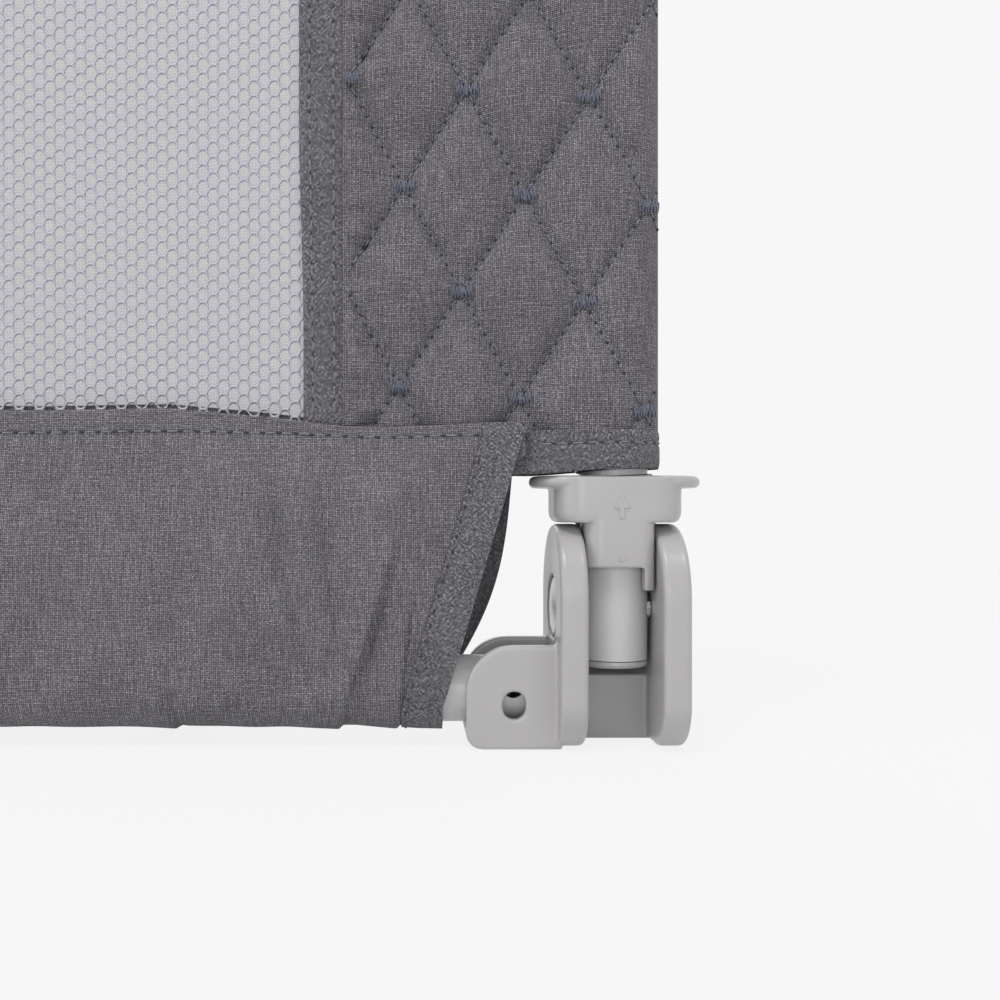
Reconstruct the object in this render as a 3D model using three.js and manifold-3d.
// Folding bed guard rail. Millimetres, +Z up, X along the rail, the outside of the bed at -Y.
// The guard is a tube frame in a quilted cover. It stands in two brackets and folds out and down
// about the rivets in them, once the two collars on its uprights are lifted. Two arms run from the
// base bar under the mattress, towards +Y.
import * as THREE from 'three';
import { mergeVertices } from 'three/addons/utils/BufferGeometryUtils.js';
import Module from 'manifold-3d';

const wasm = await Module();
wasm.setup();

// Whole rail
const uprightSpacing = 990;
const railHeight = 430;

// Clearances
const restGap = 0.3;
const slideGap = 0.4;
const weldTolerance = 0.001;
const cutOverrun = 3;

// Tubes
const tubeRadius = 11;
const tubeWall = 1.5;
const tubeBore = tubeRadius - tubeWall;
const cornerBendRadius = 60;
const cornerTubeReach = 100;
const spigotLength = 32;
const spigotWall = 1.4;
const snapButtonRadius = 3;
const snapButtonStand = 0.6;
const snapButtonDepth = 5;
const snapInset = 12;
const snapRoundShare = 1 / 3;

// Brackets
const cheekInner = 11.7;
const cheekOuter = 20.6;
const cheekFront = -23;
const cheekBack = 25;
const cheekHeight = 71;
const cheekToeRadius = 15.5;
const cheekHeelRadius = 4;
const cheekRound = 2.4;
const edgeRound = 1.4;
const pivotHeight = 44.2;
const footDrop = 19.3;
const uprightFoot = pivotHeight - footDrop;
const webFace = 3;
const webSweepRadius = 23;
const backWallHeight = 58;
const rivetHeadRadius = 10.6;
const rivetHeadRise = 2.2;
const rivetHeadShares = [[1, 0.25], [0.72, 0.75], [0.36, 1]];
const rivetRecessDepth = 2.2;
const rivetPinRadius = 3;
const sleeveWall = 1.1;

// Base bar and its sockets
const barHeight = 17.4;
const socketEnd = 49.8;
const socketHeight = 33;
const socketFloor = 5.9;
const socketPlate = 4;
const socketShoulderRadius = 15;
const socketToeRadius = 5;
const socketLean = 3.6;
const socketLeanShare = 1 / 3;
const slotWidth = 7.4;
const slotLength = 9.1;
const slotDistance = 34.4;
const slotHeight = 13.9;
const barHoleRadius = 3.3;
const barHoleRise = 1.6;
const barButtonRadius = 1.8;
const barButtonSide = 0.6;
const barButtonRise = 2.4;
const barButtonLength = 3.5;

// Mattress arms
const armInset = 150;
const armRadius = 9.5;
const armBore = armRadius - tubeWall;
const armLength = 446;
const armCapLength = 22;
const armCapInset = 14;
const armCapHalfWidth = 17;
const gripLength = 150;
const gripThickness = 2.4;
const gripInset = 60;

// Lock collars
const collarTop = 87.6;
const collarPlateThickness = 3.9;
const collarEarReach = 28.5;
const collarEarRound = 5;
const collarBodyHalf = 20.9;
const collarBodyBottom = 72.4;
const collarChamfer = 4;
const collarDepthHalf = 14.7;
const collarCornerRound = 9;
const tongueHalf = 11.3;
const tongueCornerRound = 5;
const tongueBottom = 57.9;
const tongueSideCut = 7;
const legInner = 7.4;
const legBottom = 50.5;
const springSeatHeight = 77.2;
const springWireRadius = 0.55;
const springTurns = 4;
const springStopHeight = 99;
const springStopLength = 3;
const springStopWall = 1.1;

// Tube plugs
const plugLip = 2.2;
const plugDepth = 10;

// Fabric cover
const wrapRadius = 14.4;
const wrapLining = 1;
const coverBore = tubeRadius + wrapLining;
const panelReach = 90.2;
const seamHalf = 3.4;
const hemBottom = 89.9;
const hemTop = 101.7;
const hemReach = 27.5;
const hemTuckRun = 3.5;
const hemTuck = 1.5;
const hemTail = 38;
const hemCloth = 0.9;
const quiltOriginX = -30.7;
const quiltOriginZ = 177;
const quiltWidth = 39.7;
const quiltDrop = 3;
const quiltHeight = 64.6;
const quiltLean = 1.6;
const quiltStepShare = 1 / 5;
const quiltDepth = 2;
const quiltCrownPower = 0.5;
const edgeFadeShare = 1 / 4;
const bindingWidth = 11.8;
const bindingHalf = 2.4;
const bandBottom = hemTop + restGap;
const bandTop = 108.8;
const sleeveWingDrop = 34;
const sleeveWingHalf = 1.9;
const sleeveHipShare = 0.4;
const netHalf = 0.6;
const netColumns = 12;
const netRows = 6;
const netStrand = 5;

// Skirt
const skirtTop = hemTop - restGap;
const skirtCloth = 0.9;
const skirtClear = 0.6;
const skirtEndTop = 31;
const skirtEndLow = 56.9;
const skirtArmClear = 1.5;
const skirtArmCutFront = 5;
const skirtBindingWidth = 15;
const skirtBindingExtra = 0.7;
const skirtColumns = 24;
const skirtFold = 2.4;
const skirtFoldPitch = 88;
const foldPlaceShare = 0.55;
const foldSpreadShare = 0.45;

// Mesh detail, in counts
const roundSteps = 6;
const fineSteps = 5;
const tubeSteps = 4;
const holeSteps = 3;
const bendSteps = 7;
const turnSteps = 12;
const wireSides = 4;

// Colours of the finishes
const plasticGrey = new THREE.Color(0xb9b5b6);
const tubeGrey = new THREE.Color(0xb4b4b2);
const fabricGrey = new THREE.Color(0x706e72);
const bindingGrey = new THREE.Color(0x676569);
const netGrey = new THREE.Color(0xbdbbc4);
const steelGrey = new THREE.Color(0xa9abb0);
const capGrey = new THREE.Color(0x9a9799);
const foamGrey = new THREE.Color(0x5c5a5e);

function finish(colour, roughness, metalness) {
  return new THREE.MeshStandardMaterial({ color: colour, roughness, metalness });
}

const plastic = finish(plasticGrey, 0.42, 0);
const paintedTube = finish(tubeGrey, 0.4, 0.1);
const fabric = finish(fabricGrey, 0.95, 0);
const binding = finish(bindingGrey, 0.95, 0);
const net = finish(netGrey, 0.9, 0);
const steel = finish(steelGrey, 0.3, 0.9);
const capPlastic = finish(capGrey, 0.6, 0);
const foam = finish(foamGrey, 0.95, 0);

// Derived places
const topTubeHeight = railHeight - wrapRadius;
const halfSpacing = uprightSpacing / 2;
const panelEdge = -panelReach;
const stripOuter = panelEdge - restGap;
const stripInner = stripOuter - bindingWidth;
const skirtRadiusInner = tubeRadius + skirtClear;

// Solids from geometry and back

function bareGeometry(geometry) {
  const copy = geometry.index ? geometry.toNonIndexed() : geometry.clone();
  copy.deleteAttribute('normal');
  copy.deleteAttribute('uv');
  const merged = mergeVertices(copy, weldTolerance);
  const index = merged.index.array;
  const kept = [];
  for (let i = 0; i < index.length; i += 3) {
    const [a, b, c] = [index[i], index[i + 1], index[i + 2]];
    if (a !== b && b !== c && c !== a) kept.push(a, b, c);
  }
  merged.setIndex(kept);
  return merged;
}

function toSolid(geometry) {
  const bare = bareGeometry(geometry);
  const mesh = new wasm.Mesh({
    numProp: 3,
    vertProperties: new Float32Array(bare.attributes.position.array),
    triVerts: new Uint32Array(bare.index.array),
  });
  return new wasm.Manifold(mesh);
}

function toGeometry(solid) {
  const mesh = solid.getMesh();
  const geometry = new THREE.BufferGeometry();
  const places = new Float32Array(mesh.vertProperties);
  geometry.setAttribute('position', new THREE.BufferAttribute(places, 3));
  geometry.setIndex([...mesh.triVerts]);
  return bareGeometry(geometry);
}

function cut(geometry, ...cutters) {
  let solid = toSolid(geometry);
  for (const cutter of cutters) solid = solid.subtract(toSolid(cutter));
  return toGeometry(solid);
}

function join(geometry, ...others) {
  let solid = toSolid(geometry);
  for (const other of others) solid = solid.add(toSolid(other));
  return toGeometry(solid);
}

function common(geometry, other) {
  return toGeometry(toSolid(geometry).intersect(toSolid(other)));
}

function mirrored(geometry) {
  const copy = bareGeometry(geometry);
  copy.scale(-1, 1, 1);
  const index = [...copy.index.array];
  for (let i = 0; i < index.length; i += 3) {
    [index[i], index[i + 1]] = [index[i + 1], index[i]];
  }
  copy.setIndex(index);
  return copy;
}

// Basic shapes, placed by their real edges

function box(x0, x1, y0, y1, z0, z1) {
  const geometry = new THREE.BoxGeometry(x1 - x0, y1 - y0, z1 - z0);
  return geometry.translate((x0 + x1) / 2, (y0 + y1) / 2, (z0 + z1) / 2);
}

function alongX(geometry) {
  return geometry.applyMatrix4(new THREE.Matrix4().makeBasis(
    new THREE.Vector3(0, 1, 0), new THREE.Vector3(0, 0, 1), new THREE.Vector3(1, 0, 0)));
}

function alongY(geometry) {
  return geometry.applyMatrix4(new THREE.Matrix4().makeBasis(
    new THREE.Vector3(1, 0, 0), new THREE.Vector3(0, 0, 1), new THREE.Vector3(0, -1, 0)));
}

// A rod whose round section has sides in four equal quarters, along Z from z0 to z1
function rod(radius, z0, z1, quarterSteps = fineSteps) {
  const geometry = new THREE.CylinderGeometry(radius, radius, z1 - z0, quarterSteps * 4);
  return geometry.rotateX(Math.PI / 2).translate(0, 0, (z0 + z1) / 2);
}

function rodAlongX(radius, x0, x1, y, z, quarterSteps = fineSteps) {
  return rod(radius, x0, x1, quarterSteps).rotateY(Math.PI / 2).translate(0, y, z);
}

function rodAlongY(radius, y0, y1, x, z, quarterSteps = fineSteps) {
  return rod(radius, y0, y1, quarterSteps).rotateX(-Math.PI / 2).translate(x, 0, z);
}

// A plate from a side outline in (y, z), from x0 to x1, with its rims rounded by rim
function plateAlongX(shape, x0, x1, rim = 0) {
  const geometry = new THREE.ExtrudeGeometry(shape, plateOptions(x1 - x0, rim));
  return alongX(geometry).translate(x0 + rim, 0, 0);
}

// A plate from a front outline in (x, z), from y0 back to y1
function plateAlongY(shape, y0, y1, rim = 0) {
  const geometry = new THREE.ExtrudeGeometry(shape, plateOptions(y1 - y0, rim));
  return alongY(geometry).translate(0, y1 - rim, 0);
}

function plateAlongZ(shape, z0, z1, rim = 0) {
  const geometry = new THREE.ExtrudeGeometry(shape, plateOptions(z1 - z0, rim));
  return geometry.translate(0, 0, z0 + rim);
}

function plateOptions(thickness, rim) {
  return {
    depth: thickness - 2 * rim,
    steps: 1,
    curveSegments: roundSteps,
    bevelEnabled: rim > 0,
    bevelThickness: rim,
    bevelSize: rim,
    bevelOffset: -rim,
    bevelSegments: 1,
  };
}

// A path through chosen points, one step of a sweep for each stretch
class PointPath extends THREE.Curve {
  constructor(points) {
    super();
    this.points = points;
  }

  getPoint(t, target = new THREE.Vector3()) {
    const place = THREE.MathUtils.clamp(t, 0, 1) * (this.points.length - 1);
    const from = Math.min(Math.floor(place), this.points.length - 2);
    return target.lerpVectors(this.points[from], this.points[from + 1], place - from);
  }

  getPointAt(t, target) {
    return this.getPoint(t, target);
  }

  getTangentAt(t, target) {
    return this.getTangent(t, target);
  }
}

function sweep(points, radius, bore = 0, quarterSteps = tubeSteps) {
  const ring = new THREE.Shape().absarc(0, 0, radius, 0, 2 * Math.PI);
  if (bore > 0) ring.holes.push(new THREE.Path().absarc(0, 0, bore, 0, 2 * Math.PI, true));
  return new THREE.ExtrudeGeometry(ring, {
    steps: points.length - 1,
    curveSegments: quarterSteps * 2,
    bevelEnabled: false,
    extrudePath: new PointPath(points),
  });
}

// Points from the upright's foot, up, round the corner and inboard along the top tube
function cornerPath(foot, reach) {
  const centre = new THREE.Vector3(-cornerBendRadius, 0, topTubeHeight - cornerBendRadius);
  const points = [new THREE.Vector3(0, 0, foot)];
  for (let i = 0; i <= bendSteps; i++) {
    const angle = (Math.PI / 2) * (i / bendSteps);
    points.push(new THREE.Vector3(
      centre.x + cornerBendRadius * Math.cos(angle),
      0,
      centre.z + cornerBendRadius * Math.sin(angle)));
  }
  points.push(new THREE.Vector3(-reach, 0, topTubeHeight));
  return points;
}

// The right-hand pieces, drawn about the upright's axis. The left-hand ones mirror them.

function makeUpright() {
  const tube = sweep(
    cornerPath(uprightFoot + plugLip + restGap, cornerTubeReach), tubeRadius, tubeBore);
  const pivotHole = rodAlongX(
    rivetPinRadius + sleeveWall + 2 * restGap, -tubeRadius - cutOverrun, tubeRadius + cutOverrun,
    0, pivotHeight, holeSteps);
  const buttonHole = rodAlongY(
    snapButtonRadius + restGap, 0, tubeRadius + cutOverrun, -cornerTubeReach + snapInset,
    topTubeHeight, holeSteps);
  return cut(tube, pivotHole, buttonHole);
}

function makeTopTube() {
  const bodyEnd = halfSpacing - cornerTubeReach - restGap;
  const spigotEnd = bodyEnd + spigotLength;
  const spigotRadius = tubeBore - restGap;
  const bore = spigotRadius - spigotWall;
  const outline = [
    [bore, -spigotEnd], [spigotRadius, -spigotEnd], [spigotRadius, -bodyEnd],
    [tubeRadius, -bodyEnd], [tubeRadius, bodyEnd], [spigotRadius, bodyEnd],
    [spigotRadius, spigotEnd], [bore, spigotEnd], [bore, -spigotEnd],
  ].map(([r, x]) => new THREE.Vector2(r, x));
  const tube = new THREE.LatheGeometry(outline, fineSteps * 4).rotateZ(-Math.PI / 2);
  const buttonX = halfSpacing - cornerTubeReach + snapInset;
  const holes = [-buttonX, buttonX].map((x) =>
    rodAlongY(snapButtonRadius + restGap, 0, tubeRadius + cutOverrun, x, 0, holeSteps));
  return cut(tube, ...holes);
}

function makeSnapButton() {
  const top = tubeRadius + snapButtonStand;
  const outline = [
    [0, top - snapButtonDepth], [snapButtonRadius, top - snapButtonDepth],
    [snapButtonRadius, top - snapButtonRadius * snapRoundShare],
    [snapButtonRadius * (1 - snapRoundShare), top], [0, top],
  ].map(([r, y]) => new THREE.Vector2(r, y));
  return new THREE.LatheGeometry(outline, roundSteps);
}

function makeTubePlug() {
  const stem = tubeBore - restGap;
  const hollow = stem / 2;
  const lipTop = uprightFoot + plugLip;
  const outline = [
    [hollow, lipTop + plugDepth], [hollow, lipTop - plugLip / 2], [0, lipTop - plugLip / 2],
    [0, lipTop - plugLip], [tubeRadius - plugLip / 2, lipTop - plugLip],
    [tubeRadius, lipTop - plugLip / 2], [tubeRadius, lipTop], [stem, lipTop],
    [stem, lipTop + plugDepth], [hollow, lipTop + plugDepth],
  ].map(([r, z]) => new THREE.Vector2(r, z));
  return new THREE.LatheGeometry(outline, fineSteps * 4).rotateX(Math.PI / 2);
}

function cheekShape() {
  const shape = new THREE.Shape();
  const topRadius = (cheekBack - cheekFront) / 2;
  const topCentre = (cheekBack + cheekFront) / 2;
  shape.moveTo(cheekFront + cheekToeRadius, 0);
  shape.lineTo(cheekBack - cheekHeelRadius, 0);
  shape.absarc(cheekBack - cheekHeelRadius, cheekHeelRadius, cheekHeelRadius, -Math.PI / 2, 0);
  shape.absarc(topCentre, cheekHeight - topRadius, topRadius, 0, Math.PI);
  shape.absarc(
    cheekFront + cheekToeRadius, cheekToeRadius, cheekToeRadius, Math.PI, Math.PI * 3 / 2);
  return shape;
}

// The web between the cheeks: a step that the tube's end swings over, and a wall behind it
function webShape() {
  const shape = new THREE.Shape();
  const start = Math.atan2(-Math.sqrt(webSweepRadius ** 2 - webFace ** 2), webFace);
  shape.moveTo(webFace, 0);
  shape.lineTo(cheekBack - cheekHeelRadius, 0);
  shape.absarc(cheekBack - cheekHeelRadius, cheekHeelRadius, cheekHeelRadius, -Math.PI / 2, 0);
  shape.lineTo(cheekBack, backWallHeight);
  shape.lineTo(webSweepRadius, backWallHeight);
  shape.absarc(0, pivotHeight, webSweepRadius, 0, start, true);
  return shape;
}

function socketShape() {
  const shape = new THREE.Shape();
  const root = -cheekOuter + cheekRound;
  shape.moveTo(root, 0);
  shape.lineTo(root, socketHeight + socketLean);
  shape.lineTo(-cheekOuter, socketHeight + socketLean * socketLeanShare);
  shape.lineTo(-cheekOuter - socketLean, socketHeight);
  shape.lineTo(-socketEnd + socketShoulderRadius, socketHeight);
  shape.absarc(
    -socketEnd + socketShoulderRadius, socketHeight - socketShoulderRadius,
    socketShoulderRadius, Math.PI / 2, Math.PI);
  shape.absarc(
    -socketEnd + socketToeRadius, socketToeRadius, socketToeRadius, Math.PI, Math.PI * 3 / 2);
  return shape;
}

function slotShape() {
  const radius = slotWidth / 2;
  const rise = (slotLength - slotWidth) / 2;
  const shape = new THREE.Shape();
  shape.absarc(-slotDistance, slotHeight + rise, radius, 0, Math.PI);
  shape.absarc(-slotDistance, slotHeight - rise, radius, Math.PI, 2 * Math.PI);
  return shape;
}

function makeBracket() {
  const cheeks = [
    plateAlongX(cheekShape(), cheekInner, cheekOuter, cheekRound),
    plateAlongX(cheekShape(), -cheekOuter, -cheekInner, cheekRound),
  ];
  const web = plateAlongX(
    webShape(), -cheekInner - cheekRound, cheekInner + cheekRound);
  const barRadius = tubeRadius + restGap;
  const socketFront = -barRadius - socketPlate;
  const socketBack = barRadius + socketPlate;
  const socket = plateAlongY(socketShape(), socketFront, socketBack, edgeRound / 2);
  const channel = box(
    -socketEnd - cutOverrun, -cheekOuter - restGap, -barRadius, barRadius,
    socketFloor, socketHeight + socketLean + cutOverrun);
  const slot = plateAlongY(slotShape(), socketFront - cutOverrun, -barRadius + cutOverrun);
  const openSocket = cut(socket, channel, slot);
  const pinBore = rodAlongX(
    rivetPinRadius + restGap, -cheekOuter - cutOverrun, cheekOuter + cutOverrun, 0, pivotHeight,
    holeSteps);
  const recesses = [1, -1].map((side) => rodAlongX(
    rivetHeadRadius + slideGap,
    Math.min(side * (cheekOuter - rivetRecessDepth), side * (cheekOuter + cutOverrun)),
    Math.max(side * (cheekOuter - rivetRecessDepth), side * (cheekOuter + cutOverrun)),
    0, pivotHeight));
  return cut(join(cheeks[0], cheeks[1], web, openSocket), pinBore, ...recesses);
}

// A pin with a domed head in each cheek's recess
function makePivotRivet() {
  const seat = cheekOuter - rivetRecessDepth + restGap;
  const crown = seat + rivetHeadRise;
  const dome = rivetHeadShares.map(([r, x]) => [rivetHeadRadius * r, seat + rivetHeadRise * x]);
  const half = [[rivetPinRadius, seat], [rivetHeadRadius, seat], ...dome, [0, crown]];
  const outline = [
    ...half.map(([r, x]) => [r, -x]).reverse(), ...half,
  ].map(([r, x]) => new THREE.Vector2(r, x));
  return new THREE.LatheGeometry(outline, fineSteps * 4)
    .rotateZ(-Math.PI / 2).translate(0, 0, pivotHeight);
}

function makePivotSleeve() {
  const half = cheekInner - restGap;
  const points = [
    new THREE.Vector3(-half, 0, pivotHeight), new THREE.Vector3(half, 0, pivotHeight)];
  return sweep(points, rivetPinRadius + restGap + sleeveWall, rivetPinRadius + restGap, holeSteps);
}

// Front outline of the collar's body, with its lower corners cut
function collarBodyShape() {
  const shape = new THREE.Shape();
  shape.moveTo(-collarBodyHalf, collarTop - edgeRound);
  shape.lineTo(-collarBodyHalf, collarBodyBottom + collarChamfer);
  shape.lineTo(-collarBodyHalf + collarChamfer, collarBodyBottom);
  shape.lineTo(collarBodyHalf - collarChamfer, collarBodyBottom);
  shape.lineTo(collarBodyHalf, collarBodyBottom + collarChamfer);
  shape.lineTo(collarBodyHalf, collarTop - edgeRound);
  return shape;
}

// A plan about the Z axis with rounded corners
function roundedPlan(x, y, radius) {
  const shape = new THREE.Shape();
  shape.absarc(x - radius, y - radius, radius, 0, Math.PI / 2);
  shape.absarc(radius - x, y - radius, radius, Math.PI / 2, Math.PI);
  shape.absarc(radius - x, radius - y, radius, Math.PI, Math.PI * 3 / 2);
  shape.absarc(x - radius, radius - y, radius, Math.PI * 3 / 2, Math.PI * 2);
  return shape;
}

// The body carries two ears above and a tongue below, with a longer leg on its outboard side
function makeCollar() {
  const bodyPlan = roundedPlan(collarBodyHalf, collarDepthHalf, collarCornerRound);
  const body = common(
    plateAlongY(collarBodyShape(), -collarDepthHalf, collarDepthHalf),
    plateAlongZ(bodyPlan, collarBodyBottom, collarTop));
  const earPlan = roundedPlan(collarEarReach, collarDepthHalf, collarEarRound);
  const ears = plateAlongZ(earPlan, collarTop - collarPlateThickness, collarTop, edgeRound);
  const tonguePlan = roundedPlan(tongueHalf, collarDepthHalf, tongueCornerRound);
  const tongue = plateAlongZ(tonguePlan, legBottom, collarBodyBottom + edgeRound);
  const bore = rod(tubeRadius + slideGap, legBottom - cutOverrun, collarTop + cutOverrun);
  const springSeat = rod(springOuter + restGap, springSeatHeight, collarTop + cutOverrun);
  const besideLeg = box(
    -tongueHalf - cutOverrun, legInner, -collarDepthHalf, collarDepthHalf,
    legBottom - cutOverrun, tongueBottom);
  const sideCut = box(
    -collarBodyHalf, collarBodyHalf, -tongueSideCut, tongueSideCut,
    legBottom - cutOverrun, collarBodyBottom);
  return cut(join(body, ears, tongue), bore, springSeat, besideLeg, sideCut);
}

// Light return spring between the collar's seat and the stop ring on the tube
const springMiddle = (tubeRadius + restGap + springWireRadius) / Math.cos(Math.PI / turnSteps);
const springOuter = springMiddle + springWireRadius;

function makeReturnSpring() {
  const bottom = springSeatHeight + springWireRadius + restGap;
  const top = springStopHeight - springWireRadius - restGap;
  const count = springTurns * turnSteps;
  const path = [];
  for (let i = 0; i <= count; i++) {
    const angle = (2 * Math.PI * i) / turnSteps;
    path.push(new THREE.Vector3(
      springMiddle * Math.cos(angle), springMiddle * Math.sin(angle),
      bottom + (top - bottom) * (i / count)));
  }
  return wireAlong(path);
}

// A closed wire of few sides along points that circle the Z axis
function wireAlong(path) {
  const places = [];
  const faces = [];
  path.forEach((point, i) => {
    const out = new THREE.Vector3(point.x, point.y, 0).normalize();
    for (let k = 0; k < wireSides; k++) {
      const angle = (2 * Math.PI * k) / wireSides;
      places.push(
        point.x + out.x * springWireRadius * Math.cos(angle),
        point.y + out.y * springWireRadius * Math.cos(angle),
        point.z + springWireRadius * Math.sin(angle));
      if (i === 0) continue;
      const a = (i - 1) * wireSides + k;
      const b = (i - 1) * wireSides + ((k + 1) % wireSides);
      faces.push(a, b + wireSides, b, a, a + wireSides, b + wireSides);
    }
  });
  const last = (path.length - 1) * wireSides;
  for (let k = 1; k < wireSides - 1; k++) {
    faces.push(0, k, k + 1, last, last + k + 1, last + k);
  }
  const geometry = new THREE.BufferGeometry();
  geometry.setAttribute('position', new THREE.Float32BufferAttribute(places, 3));
  geometry.setIndex(faces);
  return geometry;
}

function makeSpringStop() {
  const points = [
    new THREE.Vector3(0, 0, springStopHeight),
    new THREE.Vector3(0, 0, springStopHeight + springStopLength)];
  return sweep(points, tubeRadius + restGap + springStopWall, tubeRadius + restGap);
}

function makeBarButton() {
  const front = -tubeBore + restGap;
  return rodAlongY(
    barButtonRadius, front, front + barButtonLength, -slotDistance + barButtonSide,
    barHeight + barButtonRise, holeSteps);
}

// An arm is welded to the back of the base bar, so its end is hollowed to fit round it
function makeArm() {
  const points = [
    new THREE.Vector3(-armInset, 0, barHeight), new THREE.Vector3(-armInset, armLength, barHeight)];
  const bar = rodAlongX(
    tubeRadius + restGap, -armInset - tubeRadius, -armInset + tubeRadius, 0, barHeight);
  return cut(sweep(points, armRadius, armBore), bar);
}

function makeArmCap() {
  const front = armLength - armCapInset;
  const shape = new THREE.Shape();
  shape.moveTo(-armInset - armCapHalfWidth, 0);
  shape.lineTo(-armInset + armCapHalfWidth, 0);
  shape.absarc(-armInset, barHeight, armCapHalfWidth, 0, Math.PI);
  const body = plateAlongY(shape, front, front + armCapLength);
  const bore = rodAlongY(
    armRadius + restGap, front - cutOverrun, armLength + restGap, -armInset, barHeight);
  return cut(body, bore);
}

function makeArmGrip() {
  const end = armLength - armCapInset - gripInset;
  const points = [
    new THREE.Vector3(-armInset, end - gripLength, barHeight),
    new THREE.Vector3(-armInset, end, barHeight)];
  return sweep(points, armRadius + restGap + gripThickness, armRadius + restGap);
}

// The cover

// How far a place lies from the cover's outer edge, which rounds the top corner
function distanceFromEdge(x, z) {
  const edgeX = wrapRadius - x;
  const edgeZ = railHeight - z;
  const cornerRadius = cornerBendRadius + wrapRadius;
  if (edgeX >= cornerRadius || edgeZ >= cornerRadius) return Math.min(edgeX, edgeZ);
  return cornerRadius - Math.hypot(cornerRadius - edgeX, cornerRadius - edgeZ);
}

// Half the cover's thickness: round over the tube, then drawn in to the seam
function coverHalf(distance) {
  if (distance < wrapRadius) {
    return Math.sqrt(Math.max(0, wrapRadius ** 2 - (wrapRadius - distance) ** 2));
  }
  const share = Math.min(1, (distance - wrapRadius) / panelReach);
  return THREE.MathUtils.lerp(wrapRadius, seamHalf, share);
}

// Quilting: 0 on a line of stitches, 1 in the middle of a diamond
function quiltCrown(x, z) {
  const fromX = x - quiltOriginX;
  const fromZ = z - quiltOriginZ;
  const area = quiltWidth * quiltHeight + quiltDrop * quiltLean;
  const across = (fromX * quiltHeight - fromZ * quiltLean) / area;
  const up = (fromZ * quiltWidth + fromX * quiltDrop) / area;
  const crossing = Math.sin(Math.PI * (across + up)) * Math.sin(Math.PI * (across - up));
  return Math.abs(crossing) ** quiltCrownPower;
}

// A closed pad from a grid of places and the half thickness at each. The first column and the
// first row have a wall between the two faces; at the other two edges the faces meet.
function pad(columns, rows, place, half) {
  const places = [];
  const faces = [];
  const index = (side, i, j) => side * (columns + 1) * (rows + 1) + j * (columns + 1) + i;
  for (const side of [-1, 1]) {
    for (let j = 0; j <= rows; j++) {
      for (let i = 0; i <= columns; i++) {
        const [x, z] = place(i / columns, j / rows);
        places.push(x, side * half(x, z), z);
      }
    }
  }
  for (let j = 0; j < rows; j++) {
    for (let i = 0; i < columns; i++) {
      const front = [index(0, i, j), index(0, i + 1, j), index(0, i + 1, j + 1), index(0, i, j + 1)];
      const back = [index(1, i, j), index(1, i + 1, j), index(1, i + 1, j + 1), index(1, i, j + 1)];
      faces.push(front[0], front[1], front[2], front[0], front[2], front[3]);
      faces.push(back[0], back[2], back[1], back[0], back[3], back[2]);
    }
  }
  const wall = (a, b, c, d) => faces.push(a, b, c, a, c, d);
  for (let j = 0; j < rows; j++) {
    wall(index(0, 0, j), index(0, 0, j + 1), index(1, 0, j + 1), index(1, 0, j));
    wall(index(0, columns, j), index(1, columns, j), index(1, columns, j + 1),
      index(0, columns, j + 1));
  }
  for (let i = 0; i < columns; i++) {
    wall(index(0, i, 0), index(1, i, 0), index(1, i + 1, 0), index(0, i + 1, 0));
    wall(index(0, i, rows), index(0, i + 1, rows), index(1, i + 1, rows), index(1, i, rows));
  }
  const geometry = new THREE.BufferGeometry();
  geometry.setAttribute('position', new THREE.Float32BufferAttribute(places, 3));
  geometry.setIndex(faces);
  return geometry;
}

function makeEndPanel() {
  const bottom = hemTop + restGap;
  const edgeColumnShares = [0.6, 0.92, 1];
  const diamondColumns = Math.round(panelReach / (quiltWidth * quiltStepShare));
  const edgeColumns = edgeColumnShares.length;
  const columns = diamondColumns + edgeColumns;
  const diamondRows = Math.round(
    (topTubeHeight - bottom) / (quiltHeight * quiltStepShare));
  const rows = diamondRows + edgeColumns;
  const cornerRadius = cornerBendRadius + wrapRadius;
  const place = (u, v) => {
    const i = Math.round(u * columns);
    const j = Math.round(v * rows);
    const flatX = i <= diamondColumns
      ? panelEdge * (1 - i / diamondColumns)
      : wrapRadius * edgeColumnShares[i - diamondColumns - 1];
    const z = j <= diamondRows
      ? THREE.MathUtils.lerp(bottom, topTubeHeight, j / diamondRows)
      : topTubeHeight + wrapRadius * edgeColumnShares[j - diamondRows - 1];
    const drop = Math.max(0, z - (railHeight - cornerRadius));
    const edge = wrapRadius - cornerRadius + Math.sqrt(Math.max(0, cornerRadius ** 2 - drop ** 2));
    const squeeze = (edge - panelEdge) / (wrapRadius - panelEdge);
    return [panelEdge + (flatX - panelEdge) * squeeze, z];
  };
  const half = (x, z) => {
    const distance = distanceFromEdge(x, z);
    const fade = THREE.MathUtils.smoothstep(distance, wrapRadius * edgeFadeShare, wrapRadius);
    const seam = THREE.MathUtils.smoothstep(x, panelEdge, panelEdge + wrapRadius);
    return coverHalf(distance) - quiltDepth * fade * seam * (1 - quiltCrown(x, z));
  };
  const bore = sweep(
    cornerPath(bottom - cutOverrun, panelReach + cutOverrun), coverBore);
  return cut(pad(columns, rows, place, half), bore);
}

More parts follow.
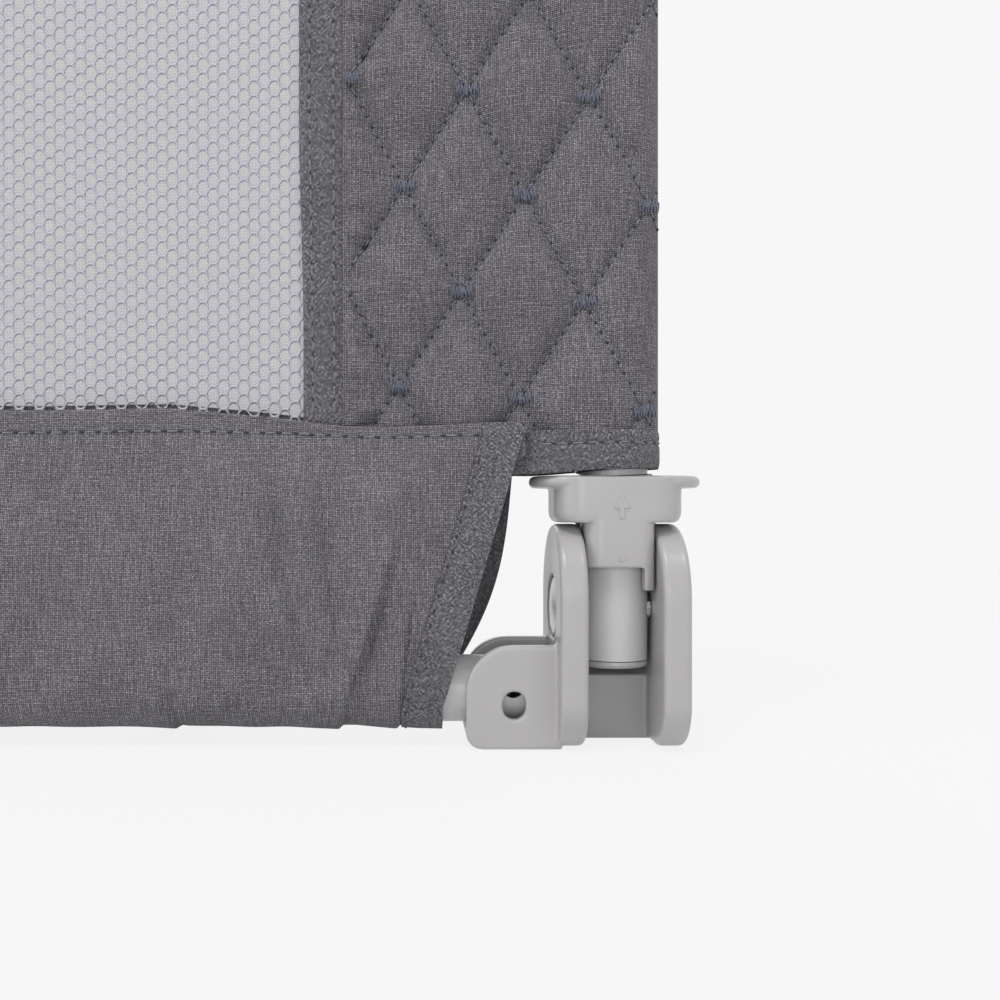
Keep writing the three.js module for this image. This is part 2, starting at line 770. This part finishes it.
// The bound hem below the panel, round the tube and inboard to where it tucks behind the skirt
function makeHem() {
  const shape = new THREE.Shape();
  const tuckStart = coverHalf(wrapRadius + hemReach);
  const tuckEnd = coverHalf(wrapRadius + hemReach + hemTuckRun) - hemTuck;
  const tailHalf = coverHalf(wrapRadius + hemTail) - hemTuck;
  shape.absarc(0, 0, wrapRadius, -Math.PI / 2, Math.PI / 2);
  shape.lineTo(-hemReach, tuckStart);
  shape.lineTo(-hemReach - hemTuckRun, tuckEnd);
  shape.lineTo(-hemTail, tailHalf);
  shape.lineTo(-hemTail, -tailHalf);
  shape.lineTo(-hemReach - hemTuckRun, -tuckEnd);
  shape.lineTo(-hemReach, -tuckStart);
  shape.holes.push(new THREE.Path().absarc(0, 0, wrapRadius - hemCloth, 0, 2 * Math.PI, true));
  return plateAlongZ(shape, hemBottom, hemTop);
}

// The sleeve round the top tube, drawn in below it to hold the net
function makeTopSleeve() {
  const half = halfSpacing - panelReach - restGap;
  const shape = new THREE.Shape();
  const hip = -wrapRadius * sleeveHipShare;
  const hipHalf = Math.sqrt(wrapRadius ** 2 - hip ** 2);
  const start = Math.atan2(hip, hipHalf);
  shape.absarc(0, 0, wrapRadius, start, Math.PI - start);
  shape.lineTo(-sleeveWingHalf, -sleeveWingDrop);
  shape.lineTo(sleeveWingHalf, -sleeveWingDrop);
  shape.holes.push(new THREE.Path().absarc(0, 0, coverBore, 0, 2 * Math.PI, true));
  return plateAlongX(shape, -half, half).translate(0, 0, topTubeHeight);
}

const netTop = topTubeHeight - sleeveWingDrop - restGap;

function makeSideBinding() {
  const shape = new THREE.Shape();
  shape.moveTo(stripInner, -bindingHalf);
  shape.lineTo(stripOuter, -seamHalf);
  shape.lineTo(stripOuter, seamHalf);
  shape.lineTo(stripInner, bindingHalf);
  return plateAlongZ(shape, bandBottom, netTop);
}

function makeLowerBand() {
  const half = halfSpacing + stripInner - restGap;
  return box(-half, half, -bindingHalf, bindingHalf, bandBottom, bandTop);
}

// A flat net of square strands
function makeNet() {
  const half = halfSpacing + stripInner - restGap;
  const bottom = bandTop + restGap;
  const pitchX = (2 * half - netStrand) / netColumns;
  const pitchZ = (netTop - bottom - netStrand) / netRows;
  const faceOverrun = netHalf + cutOverrun;
  const gaps = [];
  for (let column = 0; column < netColumns; column++) {
    for (let row = 0; row < netRows; row++) {
      const x = -half + netStrand + column * pitchX;
      const z = bottom + netStrand + row * pitchZ;
      gaps.push(box(
        x, x + pitchX - netStrand, -faceOverrun, faceOverrun, z, z + pitchZ - netStrand));
    }
  }
  return cut(box(-half, half, -netHalf, netHalf, bottom, netTop), ...gaps);
}

// The skirt hangs from the cover's lower edge, passes under the base bar and comes up behind it.
// Its ends slant, so that the brackets stay clear, and its back is cut out round each arm.

function skirtEnd(z) {
  const share = THREE.MathUtils.clamp((skirtTop - z) / (skirtTop - barHeight), 0, 1);
  return -THREE.MathUtils.lerp(skirtEndTop, skirtEndLow, share);
}

// A place on the skirt's section, from the front seam down, round the bar and up the back
function skirtPlace(share, offset, topHalf) {
  const radius = skirtRadiusInner + offset;
  const straight = skirtTop - barHeight;
  const arc = Math.PI * radius;
  const length = 2 * straight + arc;
  const along = share * length;
  if (along < straight) {
    const up = 1 - along / straight;
    return [-THREE.MathUtils.lerp(radius, topHalf + offset, up), barHeight + up * straight];
  }
  if (along > straight + arc) {
    const up = (along - straight - arc) / straight;
    return [THREE.MathUtils.lerp(radius, topHalf + offset, up), barHeight + up * straight];
  }
  const angle = (along - straight) / radius;
  return [-radius * Math.cos(angle), barHeight - radius * Math.sin(angle)];
}

const skirtRowShares = [
  0, 0.09, 0.18, 0.27, 0.35, 0.41, 0.44, 0.47, 0.5, 0.53, 0.56, 0.59, 0.65, 0.73, 0.82, 0.91, 1];

// A folded cloth between two ends, each a function of height, with a fold depth of its own
function foldedCloth(columns, leftEnd, rightEnd, thickness, fold) {
  const places = [];
  const faces = [];
  const rows = skirtRowShares.length;
  for (const layer of [1, 0]) {
    for (let i = 0; i <= columns; i++) {
      for (const share of skirtRowShares) {
        const [, z] = skirtPlace(share, 0, 0);
        const x = THREE.MathUtils.lerp(leftEnd(z), rightEnd(z), i / columns);
        const inboard = halfSpacing - Math.abs(x);
        const topHalf = coverHalf(wrapRadius + inboard) - skirtCloth;
        const [y, height] = skirtPlace(share, layer * thickness, topHalf);
        const fromMiddle = Math.abs(2 * share - 1);
        const hang = 1 - Math.abs(fromMiddle - foldPlaceShare) / foldSpreadShare;
        const swell = fold * Math.max(0, hang) * Math.sin((2 * Math.PI * x) / skirtFoldPitch) ** 2;
        places.push(x, y + Math.sign(y) * swell, height);
      }
    }
  }
  const index = (layer, i, j) => layer * (columns + 1) * rows + i * rows + j;
  const quad = (a, b, c, d) => faces.push(a, b, c, a, c, d);
  for (let i = 0; i < columns; i++) {
    for (let j = 0; j < rows - 1; j++) {
      quad(index(0, i, j), index(0, i, j + 1), index(0, i + 1, j + 1), index(0, i + 1, j));
      quad(index(1, i, j), index(1, i + 1, j), index(1, i + 1, j + 1), index(1, i, j + 1));
    }
    quad(index(0, i, 0), index(0, i + 1, 0), index(1, i + 1, 0), index(1, i, 0));
    quad(index(0, i, rows - 1), index(1, i, rows - 1), index(1, i + 1, rows - 1),
      index(0, i + 1, rows - 1));
  }
  for (let j = 0; j < rows - 1; j++) {
    quad(index(0, 0, j), index(1, 0, j), index(1, 0, j + 1), index(0, 0, j + 1));
    quad(index(0, columns, j), index(0, columns, j + 1), index(1, columns, j + 1),
      index(1, columns, j));
  }
  const geometry = new THREE.BufferGeometry();
  geometry.setAttribute('position', new THREE.Float32BufferAttribute(places, 3));
  geometry.setIndex(faces);
  return geometry;
}

function makeSkirt() {
  const end = (z) => halfSpacing + skirtEnd(z) - skirtBindingWidth - restGap;
  const cloth = foldedCloth(skirtColumns, (z) => -end(z), end, skirtCloth, skirtFold);
  const clear = armRadius + skirtArmClear;
  const armX = halfSpacing - armInset;
  const armCuts = [-armX, armX].map((x) => box(
    x - clear, x + clear, skirtArmCutFront, skirtRadiusInner + wrapRadius,
    -cutOverrun, barHeight + clear));
  return cut(cloth, ...armCuts);
}

function makeSkirtBinding() {
  const outer = (z) => halfSpacing + skirtEnd(z);
  const inner = (z) => outer(z) - skirtBindingWidth;
  return foldedCloth(1, inner, outer, skirtCloth + skirtBindingExtra, 0);
}

// Assembly: a group for each upright's axis and one for the middle of the rail

const rail = new THREE.Group();
const rightSide = new THREE.Group();
const leftSide = new THREE.Group();
rightSide.position.x = halfSpacing;
leftSide.position.x = -halfSpacing;
rail.add(rightSide, leftSide);

function addMesh(group, name, geometry, material) {
  const mesh = new THREE.Mesh(bareGeometry(geometry), material);
  mesh.name = name;
  group.add(mesh);
  return mesh;
}

function addPair(name, geometry, material) {
  addMesh(rightSide, `${name}_right`, geometry, material);
  addMesh(leftSide, `${name}_left`, mirrored(geometry), material);
}

addPair('bracket', makeBracket(), plastic);
addPair('upright_tube', makeUpright(), paintedTube);
addPair('upright_plug', makeTubePlug(), plastic);
addPair('pivot_rivet', makePivotRivet(), steel);
addPair('pivot_sleeve', makePivotSleeve(), steel);
addPair('lock_collar', makeCollar(), plastic);
addPair('return_spring', makeReturnSpring(), steel);
addPair('spring_stop', makeSpringStop(), steel);
addPair('bar_button', makeBarButton(), steel);
addPair('mattress_arm', makeArm(), paintedTube);
addPair('arm_cap', makeArmCap(), capPlastic);
addPair('arm_grip', makeArmGrip(), foam);
addPair('end_panel', makeEndPanel(), fabric);
addPair('panel_hem', makeHem(), binding);
addPair('side_binding', makeSideBinding(), binding);

const snapButton = makeSnapButton();
const snapX = halfSpacing - cornerTubeReach + snapInset;
addMesh(rail, 'snap_button_right', snapButton, steel).position.set(snapX, 0, topTubeHeight);
addMesh(rail, 'snap_button_left', snapButton, steel).position.set(-snapX, 0, topTubeHeight);

addMesh(rail, 'top_tube', makeTopTube(), paintedTube).position.z = topTubeHeight;
addMesh(rail, 'top_sleeve', makeTopSleeve(), fabric);
addMesh(rail, 'lower_band', makeLowerBand(), binding);
addMesh(rail, 'mesh_net', makeNet(), net);

const barHalf = halfSpacing - cheekOuter - restGap;
const barTube = sweep(
  [new THREE.Vector3(-barHalf, 0, barHeight), new THREE.Vector3(barHalf, 0, barHeight)],
  tubeRadius, tubeBore);
const buttonX = halfSpacing - slotDistance;
const barHoles = [-buttonX, buttonX].map((x) =>
  rodAlongY(
    barHoleRadius, -tubeRadius - cutOverrun, 0, x, barHeight + barHoleRise, holeSteps));
addMesh(rail, 'base_bar', cut(barTube, ...barHoles), paintedTube);

addMesh(rail, 'skirt', makeSkirt(), fabric);
const skirtBinding = makeSkirtBinding();
addMesh(rail, 'skirt_binding_right', skirtBinding, binding);
addMesh(rail, 'skirt_binding_left', mirrored(skirtBinding), binding);

// The origin is under the middle of the whole rail, at the bracket bottoms
const bounds = new THREE.Box3().setFromObject(rail);
rail.position.y = -(bounds.min.y + bounds.max.y) / 2;

export default rail;
